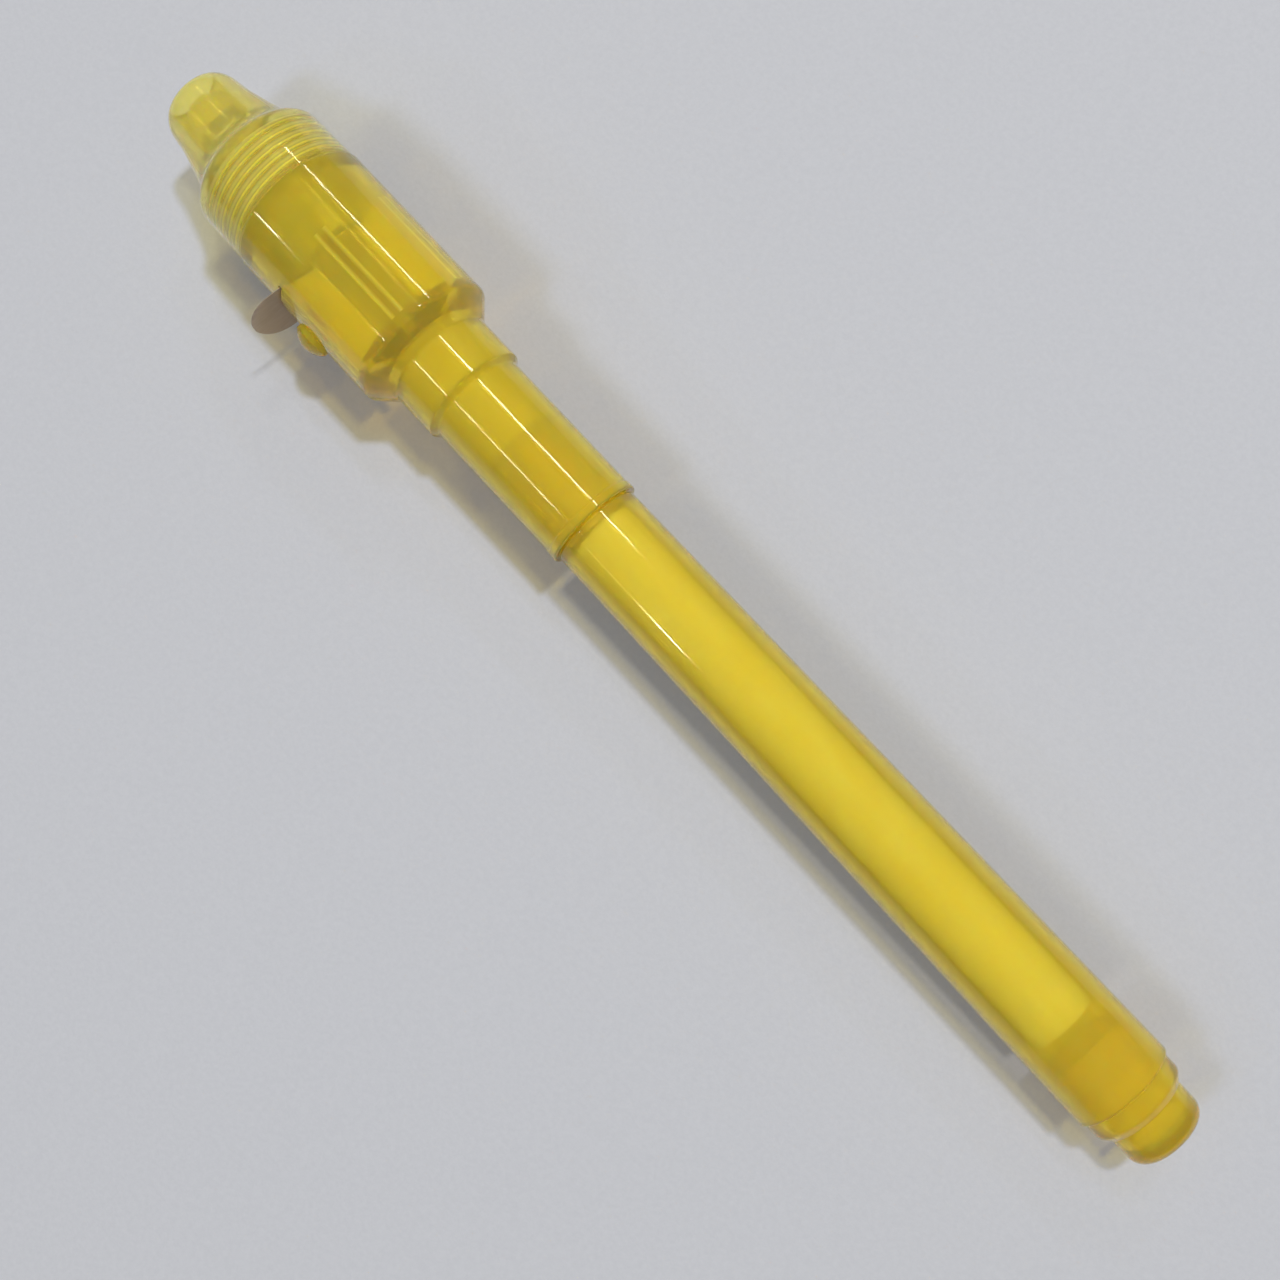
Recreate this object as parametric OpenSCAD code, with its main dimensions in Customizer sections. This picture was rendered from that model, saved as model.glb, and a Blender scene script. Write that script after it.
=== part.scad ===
// Hand-held detector pen with a lamp cap, lying on its side.
// The pen's axis is the X axis. X runs from the flat tail face (x = 0) to the lamp's mouth.
// The push button and the pull tab stick out towards +Y. +Z is up.

/* [Tail plug] */
// Diameter of the round knob at the tail
knob_d = 7.8; // [7.2:0.1:8.2]
// Length of the knob
knob_len = 3.6; // [3.4:0.05:4.2]
// Diameter of the plug's flange
flange_d = 9.4; // [9:0.1:9.6]
// Length of the flange
flange_len = 2.45; // [2:0.05:3]
// Length of the spigot that is pushed into the barrel
spigot_len = 5.1; // [4:0.1:6]
// Wall of the hollow plug
plug_wall = 0.9; // [0.8:0.05:1.1]

/* [Barrel] */
// Length of the barrel that shows, from the tail plug to the cap
barrel_len = 68.4; // [66:0.1:70]
// Diameter of the barrel where it meets the cap
barrel_front_d = 9.16; // [9:0.02:9.3]
// Diameter of the barrel at the tail
barrel_tail_d = 10.1; // [10:0.02:10.4]
// Bore of the barrel behind the nose section
bore_front_d = 7.5; // [7.4:0.02:7.6]
// Bore of the barrel at the tail
bore_tail_d = 8.4; // [8.3:0.02:8.5]
// Diameter of the guide land that the cap slides on
land_d = 8.1; // [8:0.02:8.14]
// Diameter of the nose section inside the cap
section_d = 7.1; // [7:0.02:7.12]
// Diameter of the fibre nib
nib_d = 2.2; // [2:0.05:2.4]
// Diameter of the fibre ink reservoir
reservoir_d = 6.6; // [6.4:0.05:6.8]
// Thickness of the clear film around the reservoir
wrap_t = 0.1; // [0.05:0.01:0.12]

/* [Cap] */
// Diameter of the lip at the cap's mouth
lip_d = 10.04; // [10:0.02:10.2]
// Length of the lip
lip_len = 1; // [0.8:0.1:1.4]
// Diameter of the sleeve
sleeve_d = 9.9; // [9.8:0.02:10]
// Length of the sleeve
sleeve_len = 15.8; // [15:0.1:16]
// Diameter of the collar
collar_d = 10.96; // [10.8:0.02:11.2]
// Length of the collar
collar_len = 5.1; // [5:0.05:5.3]
// Length of the bevel between collar and lamp body
bevel_len = 2.2; // [2:0.05:2.4]
// Diameter of the lamp body
body_d = 15; // [14.8:0.1:15.4]
// Length of the lamp body
body_len = 18.2; // [18.1:0.05:18.3]
// Wall of the lamp body
body_wall = 1.2; // [1.1:0.05:1.25]
// Thickness of a rib
rib_t = 1; // [0.8:0.05:1.05]

/* [Lamp nose] */
// Length of the screwed lamp nose
nose_len = 16; // [15.8:0.05:16.4]
// Diameter of the nose's skirt at the seam
skirt_d = 14.76; // [14.7:0.02:14.9]
// Diameter of the nose's spout
spout_d = 8.4; // [8.2:0.05:8.8]
// Diameter of the lamp's mouth
mouth_d = 5.3; // [5.24:0.02:5.4]
// Distance between thread ridges
thread_pitch = 1; // [0.9:0.05:1]
// Number of thread ridges
thread_turns = 5; // [3:1:5]
// Outer diameter of the neck's ridges
neck_d = 12.6; // [12.5:0.02:12.64]
// Depth of the thread
thread_depth = 0.3; // [0.2:0.02:0.3]

/* [Cells] */
// Diameter of a button cell
cell_d = 7.9; // [7.7:0.05:7.94]
// Height of a button cell
cell_h = 3.6; // [3.55:0.01:3.6]
// Diameter of a cell's negative cap
cell_cap_d = 5.8; // [5.4:0.1:6]

/* [Lamp] */
// Diameter of the lamp's lens
lens_d = 5; // [4.8:0.05:5]
// Length of the lamp from its flange to its dome
lamp_len = 8.2; // [8:0.1:8.6]
// Diameter of the lamp's flange
lamp_flange_d = 5.8; // [5.6:0.05:5.8]
// Side of a square lamp lead
lead_t = 0.45; // [0.4:0.01:0.45]

/* [Switch and pull tab] */
// Diameter of the push button
button_d = 3.8; // [3.6:0.05:3.9]
// Height of the button above the body
button_proud = 1.3; // [1:0.1:1.6]
// Travel of the button
button_travel = 0.5; // [0.4:0.05:0.5]
// Thickness of the metal strips
strip_t = 0.2; // [0.15:0.01:0.2]
// Width of the metal strips
strip_w = 1.6; // [1.4:0.05:1.6]
// Width of the pull tab
tab_w = 8; // [7.6:0.1:8]
// Thickness of the pull tab
tab_t = 0.12; // [0.08:0.01:0.12]
// How far the pull tab sticks out of the body
tab_reach = 3.6; // [3.2:0.1:4.2]

/* [Hidden] */
$fn = 72;

// Clearances: a shaft in its hole, two faces that meet, and an overlap that joins two shapes
fit = 0.05;
seam = 0.05;
join = 0.2;
// Bevels that break a small edge and a wider one
edge = 0.15;
wide_edge = 0.25;
// Steps in a curved outline
arc_steps = 8;

// Stations along the axis, from the tail
flange_x = knob_len;
barrel_x = flange_x + flange_len;
shoulder_x = barrel_x + barrel_len;
cap_x = shoulder_x + 2 * seam;
sleeve_x = cap_x + lip_len;
collar_x = sleeve_x + sleeve_len;
bevel_x = collar_x + collar_len;
body_x = bevel_x + bevel_len;
seam_x = body_x + body_len;
nose_x = seam_x + seam;
mouth_x = nose_x + nose_len;

// End plug: rounding of the knob, bevel of the flange and lead-in of the spigot
knob_round = 1.5;
flange_bevel = [0.75, 0.6];
spigot_lead = 0.3;

// Barrel: inside and nose section
spigot_x = barrel_x + spigot_len;
reservoir_x = spigot_x + 2.3;
bore_end_x = shoulder_x - 0.6;
land_x = shoulder_x + 3.2;
section_x = land_x + 8.5;
tip_x = section_x + 5.1;
tip_d = 4;
tip_edge = 0.3;
land_taper = 0.5;
section_bore_d = 5.2;
nib_tail_x = bore_end_x - 3.4;
nib_cone_x = tip_x + 0.6;
nib_x = nib_cone_x + 2.8;

// Cap: pen socket, partition, lamp body and threaded neck
socket_d = land_d + 0.2;
seal_pocket_x = collar_x + 0.7;
seal_pocket_d = 9;
partition_t = 1.5;
chamber_x = body_x + 1;
partition_x = chamber_x - partition_t;
chamber_d = body_d - 2 * body_wall;
neck_end_x = seam_x + 6.1;
thread_x = seam_x + 0.5;
neck_root_d = neck_d - 2 * thread_depth;
seat_bore_d = 10;
seat_bore_x = seam_x + 2.3;
web_x = seam_x - 1.2;
rib_count = 6;
rib_in_r = 3;
socket_lead = 0.4;

// Stack of three cells, from the pull tab to the lamp's short lead
cell_count = 3;
cells_x = chamber_x + 11.4;
stack_end_x = cells_x + cell_count * cell_h;
sleeve_in_d = cell_d + 0.2;
sleeve_out_d = sleeve_in_d + 0.6;
web_d = sleeve_out_d + 0.2;
tab_gap = tab_t + 0.08;
plate_x = cells_x - tab_gap - strip_t;
plate_d = 7.2;
ribs_end_x = plate_x - seam;

// Switch: button, blade and bridge, measured out from the axis
button_x = body_x + 8.1;
button_y = body_d / 2 + button_proud;
button_flange_d = 4.8;
button_flange_t = 0.5;
button_flange_y = 5.05;
blade_y = 4.7;
blade_x = button_x - 1.7;
blade_pivot_x = button_x + 13.9;
blade_end_x = blade_pivot_x + 0.5;
bridge_y = blade_y - button_travel - strip_t - 0.1;
button_tip_y = blade_y + strip_t + 0.03;

// Pull tab: a film across the axis, with a fork that straddles the blade
tab_x = cells_x - tab_gap / 2;
tab_in_y = 0.5;
fork_y = blade_y + strip_t + 0.4;
fork_w = strip_w + 0.6;
tab_slot_t = 0.4;

// Lamp: seat, flange, lens and leads
lamp_x = seam_x + 6.8;
seat_t = 1;
seat_d = seat_bore_d - 0.2;
lamp_flange_t = 1;
lens_x = lamp_x + lamp_flange_t;
dome_x = lamp_x + lamp_len - lens_d / 2;
lead_y = 1.27;
anvil_x = lamp_x + 3.4;
anvil_len = 1.2;
cup_d = 1;
cup_depth = 0.4;
chip_w = 0.5;
chip_t = 0.25;

// Nose: inside
nose_thread_d = neck_d + 0.16;
nose_ledge_x = neck_end_x + 0.2;
nose_cone_d = 11.2;
nose_bore_x = nose_ledge_x + 3;

// Colours
clear_yellow = [0.86, 0.76, 0.12, 0.75];
pale_yellow = [0.86, 0.80, 0.42, 0.7];
ink_fibre = [0.93, 0.91, 0.62];
film_clear = [0.95, 0.95, 0.85, 0.4];
steel = [0.72, 0.72, 0.70];
brass = [0.78, 0.62, 0.28];
smoke = [0.42, 0.36, 0.26, 0.8];

// A solid of revolution about the pen's axis; a point is [station, radius]
module turned(outline) {
    rotate([0, 90, 0])
        rotate_extrude()
            polygon([for (p = outline) [p[1], p[0]]]);
}

// A plain rod and a plain tube along the axis
module rod(x0, x1, d) {
    translate([x0, 0, 0]) rotate([0, 90, 0]) cylinder(h = x1 - x0, d = d);
}
module tube(x0, x1, d_out, d_in) {
    difference() {
        rod(x0, x1, d_out);
        rod(x0 - join, x1 + join, d_in);
    }
}

// A box between two corners
module block(low, high) {
    translate(low) cube(high - low);
}

// A cylinder that points towards +Y, from y0 to y1
module stud(x, y0, y1, d) {
    translate([x, y0, 0]) rotate([-90, 0, 0]) cylinder(h = y1 - y0, d = d);
}

// Points on a Bezier curve, without its first point
function curve(a, b, c, d) = [
    for (i = [1:arc_steps]) let (t = i / arc_steps, u = 1 - t)
        u * u * u * a + 3 * u * u * t * b + 3 * u * t * t * c + t * t * t * d
];

// Ridges along a thread, as [station, radius] points
function ridges(x, root_r, crest_r) = [
    for (i = [0:thread_turns - 1])
        each [
            [x + i * thread_pitch, root_r],
            [x + (i + 0.35) * thread_pitch, crest_r],
            [x + (i + 0.6) * thread_pitch, crest_r]
        ]
];

// Tapered barrel with the guide land and nose section that the cap covers
module barrel() {
    color(clear_yellow)
    difference() {
        turned([
            [barrel_x, 0], [barrel_x, barrel_tail_d / 2 - wide_edge],
            [barrel_x + wide_edge, barrel_tail_d / 2],
            [shoulder_x - edge, barrel_front_d / 2], [shoulder_x, barrel_front_d / 2 - edge],
            [shoulder_x, land_d / 2], [land_x, land_d / 2], [land_x + land_taper, section_d / 2],
            [section_x, section_d / 2], [tip_x - tip_edge, tip_d / 2],
            [tip_x, tip_d / 2 - tip_edge], [tip_x, 0]
        ]);
        // Seat for the end plug, then the drafted reservoir bore
        rod(barrel_x - join, spigot_x + 0.5, bore_tail_d);
        turned([
            [spigot_x, 0], [spigot_x, bore_tail_d / 2], [bore_end_x, bore_front_d / 2], [bore_end_x, 0]
        ]);
        rod(bore_end_x - join, section_x - 1, section_bore_d);
        rod(section_x - 1 - join, tip_x + join, nib_d + 2 * fit);
    }
}

// Fibre nib with a long tail that reaches into the reservoir
module nib() {
    color("white")
    turned(concat(
        [[nib_tail_x, 0], [nib_tail_x, nib_d / 2], [nib_cone_x, nib_d / 2]],
        [[nib_x - 0.5, 0.5]],
        curve([nib_x - 0.5, 0.5], [nib_x - 0.2, 0.4], [nib_x, 0.2], [nib_x, 0])
    ));
}

// Round fibre rod that holds the ink, drilled for the nib's tail
module ink_reservoir() {
    color(ink_fibre)
    difference() {
        rod(reservoir_x, bore_end_x - 0.2, reservoir_d);
        rod(nib_tail_x - 0.1, bore_end_x, nib_d + 2 * fit);
    }
}

// Clear film tube around the fibre
module reservoir_film() {
    color(film_clear)
    tube(reservoir_x, bore_end_x - 0.2, reservoir_d + 2 * wrap_t + 0.02, reservoir_d + 0.02);
}

// Hollow plug with a flange and a round-edged knob; its end wall is the flat tail face
module end_plug() {
    knob_r = knob_d / 2;
    flange_r = flange_d / 2;
    spigot_r = bore_tail_d / 2 - fit;
    color(clear_yellow)
    difference() {
        turned(concat(
            [[0, 0], [0, knob_r - knob_round]],
            [for (a = [15:15:75]) [knob_round * (1 - cos(a)), knob_r - knob_round * (1 - sin(a))]],
            [
                [knob_round, knob_r], [flange_x, knob_r], [flange_x, flange_r - flange_bevel[1]],
                [flange_x + flange_bevel[0], flange_r], [barrel_x - seam, flange_r],
                [barrel_x - seam, spigot_r], [spigot_x - spigot_lead, spigot_r],
                [spigot_x, spigot_r - spigot_lead], [spigot_x, 0]
            ]
        ));
        rod(plug_wall, spigot_x + join, knob_d - 2 * plug_wall);
    }
}

// Rounds the outline of the cap: lip, sleeve, collar, bevel, lamp body and neck
module cap_outside() {
    lip_r = lip_d / 2;
    turned(concat(
        [
            [cap_x, 0], [cap_x, lip_r - wide_edge], [cap_x + wide_edge, lip_r],
            [sleeve_x - edge, lip_r], [sleeve_x, sleeve_d / 2],
            [collar_x - wide_edge, sleeve_d / 2], [collar_x + edge, collar_d / 2 - edge],
            [collar_x + 2 * edge, collar_d / 2], [bevel_x, collar_d / 2],
            [body_x - wide_edge, body_d / 2 - wide_edge], [body_x + edge, body_d / 2],
            [seam_x - edge, body_d / 2], [seam_x, body_d / 2 - edge], [seam_x, neck_root_d / 2]
        ],
        ridges(thread_x, neck_root_d / 2, neck_d / 2),
        [
            [thread_x + thread_turns * thread_pitch, neck_root_d / 2],
            [neck_end_x - wide_edge, neck_root_d / 2],
            [neck_end_x, neck_root_d / 2 - wide_edge], [neck_end_x, 0]
        ]
    ));
}

// Ribs behind the cells, with room cut for the button
module cap_ribs() {
    difference() {
        for (i = [0:rib_count - 1])
            rotate([90 + i * 360 / rib_count, 0, 0])
                block(
                    [chamber_x - join, rib_in_r, -rib_t / 2],
                    [ribs_end_x, chamber_d / 2 + join, rib_t / 2]
                );
        stud(button_x, 4.2, 5.9, button_flange_d + 0.7);
    }
}

// Cap with the pen socket at one end and the lamp body with its threaded neck at the other
module cap_body() {
    color(clear_yellow)
    difference() {
        union() {
            difference() {
                cap_outside();
                rod(chamber_x, web_x, chamber_d);
            }
            cap_ribs();
        }
        // Pen socket with a lead-in, and the pocket for the inner seal
        turned([
            [cap_x - join, 0], [cap_x - join, socket_d / 2 + socket_lead],
            [cap_x + socket_lead, socket_d / 2], [cap_x + socket_lead, 0]
        ]);
        rod(cap_x, seal_pocket_x + join, socket_d);
        rod(seal_pocket_x, partition_x, seal_pocket_d);
        // Bore for the cell sleeve and bore for the lamp seat
        rod(web_x - join, seat_bore_x + join, web_d);
        rod(seat_bore_x, neck_end_x + join, seat_bore_d);
        // Channel for the blade, slot for the bridge's root
        block([web_x - join, blade_y - 0.7, -strip_w / 2 - 0.1],
              [seat_bore_x + join, seat_bore_d / 2, strip_w / 2 + 0.1]);
        block([chamber_x - 0.8, bridge_y - fit, -strip_w / 2 - fit],
              [chamber_x + join, bridge_y + strip_t + fit, strip_w / 2 + fit]);
        // Hole for the button and slot for the pull tab
        stud(button_x, 4.2, body_d / 2 + join, button_d + 0.14);
        block([tab_x - tab_slot_t / 2, 4.4, -tab_w / 2 - 0.1],
              [tab_x + tab_slot_t / 2, body_d / 2 + join, tab_w / 2 + 0.1]);
    }
}

// Soft cup that closes over the nib when the cap is on
module inner_seal() {
    seal_x = section_x - 1.5;
    color(pale_yellow)
    difference() {
        turned([
            [seal_x, 0], [seal_x, socket_d / 2 - 0.15], [seal_x + 0.1, socket_d / 2 - fit],
            [seal_pocket_x + 0.1, socket_d / 2 - fit], [seal_pocket_x + 0.1, seal_pocket_d / 2 - fit],
            [partition_x - seam, seal_pocket_d / 2 - fit], [partition_x - seam, 0]
        ]);
        rod(seal_x - join, section_x + 3.2, section_d + 0.12);
        rod(section_x, nib_x + 1.2, section_d - 1.9);
    }
}

// Thin insulating tube around the cells
module cell_sleeve() {
    color(pale_yellow)
    tube(cells_x + seam, stack_end_x - 0.2, sleeve_out_d, sleeve_in_d);
}

// Button cell i of the stack: a steel can, its sealing ring and its negative cap, which faces the lamp
module cell_can(i) {
    x = cells_x + i * cell_h + 0.01;
    color(steel)
    difference() {
        turned([
            [x, 0], [x, cell_d / 2 - 0.25], [x + 0.25, cell_d / 2],
            [x + cell_h - 0.55, cell_d / 2], [x + cell_h - 0.3, cell_d / 2 - 0.25],
            [x + cell_h - 0.3, 0]
        ]);
        rod(x + 0.3, x + cell_h, cell_cap_d + 0.8);
    }
}
module cell_gasket(i) {
    x = cells_x + i * cell_h + 0.01;
    color("dimgray")
    tube(x + 0.35, x + cell_h - 0.26, cell_cap_d + 0.76, cell_cap_d + 0.04);
}
module cell_cap(i) {
    x = cells_x + i * cell_h + 0.01;
    color("silver")
    turned([
        [x + 0.35, 0], [x + 0.35, cell_cap_d / 2], [x + cell_h - 0.2, cell_cap_d / 2],
        [x + cell_h - 0.04, cell_cap_d / 2 - 0.25], [x + cell_h - 0.04, 0]
    ]);
}

// Plate behind the stack; the pull tab keeps it off the first cell
module rear_contact() {
    color(brass) rod(plate_x, plate_x + strip_t, plate_d);
}

// Strip from the partition past the button, with a foot bent down behind the plate
module bridge_contact() {
    foot_x = plate_x - seam - strip_t;
    foot_end_x = foot_x + strip_t;
    color(brass)
    union() {
        block([chamber_x - 0.7, bridge_y, -strip_w / 2], [foot_end_x, bridge_y + strip_t, strip_w / 2]);
        block([foot_x, plate_d / 2 - 1.6, -strip_w / 2], [foot_end_x, bridge_y + strip_t, strip_w / 2]);
    }
}

// Spring strip along the cells that the button presses onto the bridge
module switch_blade() {
    color(brass)
    block([blade_x, blade_y, -strip_w / 2], [blade_end_x, blade_y + strip_t, strip_w / 2]);
}

// Domed button, held in by a flange inside the body
module push_button() {
    dome_h = button_proud - 0.35;
    dome_r = (pow(button_d / 2, 2) + dome_h * dome_h) / (2 * dome_h);
    dome_y = button_y - dome_h;
    dome_angle = asin(button_d / 2 / dome_r);
    color(clear_yellow)
    union() {
        translate([button_x, 0, 0])
            rotate([-90, 0, 0])
                rotate_extrude()
                    polygon(concat(
                        [[0, button_flange_y], [button_d / 2, button_flange_y], [button_d / 2, dome_y]],
                        [for (i = [1:arc_steps]) let (a = dome_angle * (1 - i / arc_steps))
                            [dome_r * sin(a), button_y - dome_r + dome_r * cos(a)]]
                    ));
        stud(button_x, button_flange_y, button_flange_y + button_flange_t, button_flange_d);
        stud(button_x, button_tip_y, button_flange_y + fit, 1.6);
    }
}

// Smoky film tab with a rounded end, slid between the plate and the first cell
module pull_tab() {
    half_w = tab_w / 2;
    color(smoke)
    translate([tab_x - tab_t / 2, 0, 0])
        rotate([90, 0, 90])
            linear_extrude(tab_t)
                polygon(concat(
                    [[tab_in_y, -half_w]],
                    [for (a = [-90:10:90]) [body_d / 2 + tab_reach * cos(a), half_w * sin(a)]],
                    [
                        [tab_in_y, half_w], [tab_in_y, fork_w / 2], [fork_y, fork_w / 2],
                        [fork_y, -fork_w / 2], [tab_in_y, -fork_w / 2]
                    ]
                ));
}

// Round seat that carries the lamp in the neck, with a hole for each lead
module led_seat() {
    color("ivory")
    difference() {
        rod(lamp_x - seat_t, lamp_x, seat_d);
        for (side = [-1, 1])
            translate([0, side * lead_y, 0]) rod(lamp_x - seat_t - join, lamp_x + join, 0.8);
    }
}

// Clear lens with a flange that has a flat on the short lead's side
module led_lens() {
    color([0.9, 0.9, 1, 0.5])
    difference() {
        union() {
            intersection() {
                rod(lamp_x + 0.02, lens_x, lamp_flange_d);
                block([lamp_x, -lens_d / 2 - 0.02, -lamp_flange_d], [lens_x, lamp_flange_d, lamp_flange_d]);
            }
            turned(concat(
                [[lens_x - join, 0], [lens_x - join, lens_d / 2], [dome_x, lens_d / 2]],
                [for (a = [9:9:90]) [dome_x + lens_d / 2 * sin(a), lens_d / 2 * cos(a)]]
            ));
        }
        short_lead_shape();
        long_lead_shape();
        rod(anvil_x + anvil_len - cup_depth - 0.01, anvil_x + anvil_len + 0.01, cup_d);
    }
}

// Lead with the reflector cup; its other end is bent onto the front cell
module short_lead_shape() {
    half = lead_t / 2;
    foot_x = stack_end_x + 0.02;
    block([foot_x, -lead_y - half, -half], [anvil_x + join, -lead_y + half, half]);
    block([foot_x, -lead_y - half, -half], [foot_x + lead_t, 0.6, half]);
    block([anvil_x, -lead_y - half, -0.7], [anvil_x + anvil_len, 0.7, 0.7]);
}
module led_short_lead() {
    color(steel)
    difference() {
        short_lead_shape();
        rod(anvil_x + anvil_len - cup_depth, anvil_x + anvil_len + join, cup_d);
    }
}

// Lead that is bent out and back beside the blade
module long_lead_shape() {
    half = lead_t / 2;
    leg_x = lamp_x - seat_t - seam - lead_t;
    leg_y = blade_y - seam;
    block([leg_x, lead_y - half, -half], [anvil_x + 0.9, lead_y + half, half]);
    block([leg_x, lead_y - half, -half], [leg_x + lead_t, leg_y, half]);
    block([leg_x - 2.4, leg_y - strip_t, -half], [leg_x + lead_t, leg_y, half]);
}
module led_long_lead() {
    color(steel) union() long_lead_shape();
}

// Light-emitting chip in the cup
module led_chip() {
    chip_x = anvil_x + anvil_len - cup_depth + 0.01;
    color("plum")
    block([chip_x, -chip_w / 2, -chip_w / 2], [chip_x + chip_t, chip_w / 2, chip_w / 2]);
}

// Bell-shaped nose that screws onto the neck and leaves the lamp's dome open in front
module lamp_nose() {
    skirt_r = skirt_d / 2;
    spout_r = spout_d / 2;
    mouth_r = mouth_d / 2;
    shoulder = [nose_x + 5.8, skirt_r - 0.11];
    waist = [nose_x + 7.1, 6.3];
    throat = [nose_x + 12.6, spout_r + 0.25];
    brow = [mouth_x - 1.7, spout_r];
    rim = [mouth_x, mouth_r + 0.35];
    color(pale_yellow)
    difference() {
        turned(concat(
            [[nose_x, 0], [nose_x, skirt_r - 0.15], [nose_x + 0.15, skirt_r], shoulder],
            curve(shoulder, shoulder + [0.6, -0.05], waist + [-0.15, 0.45], waist),
            curve(waist, waist + [0.9, -0.75], throat + [-1.9, 0.5], throat),
            [brow],
            curve(brow, brow + [0.9, -0.15], rim + [0, 0.6], rim),
            [[mouth_x, 0]]
        ));
        turned(concat(
            [[nose_x - join, 0], [nose_x - join, nose_thread_d / 2 + thread_depth],
             [thread_x - seam, nose_thread_d / 2 + thread_depth]],
            [for (p = ridges(thread_x, 1, 0)) [p[0], nose_thread_d / 2 + p[1] * thread_depth]],
            [
                [nose_ledge_x, nose_thread_d / 2], [nose_ledge_x, nose_cone_d / 2],
                [nose_bore_x, mouth_r + 0.5], [nose_bore_x, 0]
            ]
        ));
        rod(nose_bore_x - join, mouth_x + join, mouth_d);
    }
}

barrel();
nib();
ink_reservoir();
reservoir_film();
end_plug();
cap_body();
inner_seal();
cell_sleeve();
cell_can(0);  // cell_can_1
cell_gasket(0);  // cell_gasket_1
cell_cap(0);  // cell_cap_1
cell_can(1);  // cell_can_2
cell_gasket(1);  // cell_gasket_2
cell_cap(1);  // cell_cap_2
cell_can(2);  // cell_can_3
cell_gasket(2);  // cell_gasket_3
cell_cap(2);  // cell_cap_3
rear_contact();
bridge_contact();
switch_blade();
push_button();
pull_tab();
led_seat();
led_lens();
led_short_lead();
led_long_lead();
led_chip();
lamp_nose();
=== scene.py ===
import math

import bpy
from mathutils import Matrix, Vector


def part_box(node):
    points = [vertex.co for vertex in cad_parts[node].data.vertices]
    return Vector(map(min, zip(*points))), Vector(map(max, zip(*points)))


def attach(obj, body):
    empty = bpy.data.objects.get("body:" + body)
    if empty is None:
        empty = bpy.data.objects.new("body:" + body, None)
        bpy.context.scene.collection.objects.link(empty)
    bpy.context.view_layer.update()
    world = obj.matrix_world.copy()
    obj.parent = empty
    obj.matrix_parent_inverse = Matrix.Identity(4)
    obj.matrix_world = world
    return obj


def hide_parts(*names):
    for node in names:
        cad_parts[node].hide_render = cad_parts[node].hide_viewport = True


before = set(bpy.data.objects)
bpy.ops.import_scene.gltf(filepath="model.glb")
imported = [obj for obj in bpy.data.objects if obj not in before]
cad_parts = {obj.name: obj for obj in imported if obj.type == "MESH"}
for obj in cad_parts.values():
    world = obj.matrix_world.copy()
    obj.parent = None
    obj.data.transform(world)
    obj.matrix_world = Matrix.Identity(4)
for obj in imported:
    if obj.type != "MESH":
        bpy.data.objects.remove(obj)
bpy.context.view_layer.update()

MM = 0.001
TURN = 2 * math.pi

# ---------------------------------------------------------------- sizes, in millimetres

SEGMENTS = 128  # flats round a turned piece
EASE_STEPS = 4  # short faces round an eased corner
THREAD_STEPS = 12  # stations along one pitch of the thread
SHARP_ANGLE = 35  # degrees; an edge sharper than this stays sharp


def span(node):
    """Where a node starts and ends along the pen, and how far it reaches from the axis."""
    low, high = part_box(node)
    return low.x / MM, high.x / MM, high.z / MM


barrel_x, tip_x, barrel_tail_r = span("barrel")
plug_x, spigot_x, flange_r = span("end_plug")
cap_x, neck_end_x, body_r = span("cap_body")
nose_x, mouth_x, skirt_r = span("lamp_nose")
lens_x, dome_tip_x, lens_flange_r = span("led_lens")
core_x, core_end_x, core_r = span("ink_reservoir")
sleeve_start_x, sleeve_end_x, sleeve_out_r = span("cell_sleeve")
seam_x = nose_x - 0.05

# Pen
shoulder_x = cap_x - 0.1
land_x = shoulder_x + 3.2
section_x = land_x + 8.5
bore_end_x = shoulder_x - 0.6
barrel_front_r = 4.58
land_r = 4.05
section_r = 3.55
section_bore_r = 2.6
tip_r = 2.0
nib_hole_r = 1.15
bore_front_r = 3.75
bore_tail_r = 4.2
knob_r = 3.9
flange_x = barrel_x - 2.45

# Cap
sleeve_x = cap_x + 1
collar_x = sleeve_x + 15.8
bevel_x = collar_x + 5.1
body_x = bevel_x + 2.2
chamber_x = body_x + 1
partition_x = chamber_x - 1.5
seal_pocket_x = collar_x + 0.7
web_x = seam_x - 1.2
seat_bore_x = seam_x + 2.3
lip_r = 5.02
sleeve_r = 4.95
collar_r = 5.48
socket_r = 4.15
seal_pocket_r = 4.5
chamber_r = 6.3
web_r = 4.45
seat_bore_r = 5.0
neck_r = 6.0

# Thread between the cap's neck and the nose
thread_x = seam_x + 0.5
thread_end_x = thread_x + 5
PITCH = 1.0
THREAD_DEPTH = 0.3
NOSE_THREAD_SHARE = 0.8  # of the neck's depth, so that the two threads stay clear
nose_thread_r = 6.38

# Ribs, switch and tab
RIBS = 6
rib_in_r = 3.0
rib_half_t = 0.5
button_low, button_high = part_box("push_button")
button_x = (button_low.x + button_high.x) / 2 / MM
tab_low, tab_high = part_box("pull_tab")
tab_x = (tab_low.x + tab_high.x) / 2 / MM
tab_half_w = (tab_high.z - tab_low.z) / 2 / MM
ribs_end_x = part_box("rear_contact")[0].x / MM - 0.05


# ---------------------------------------------------------------- shaders


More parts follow.
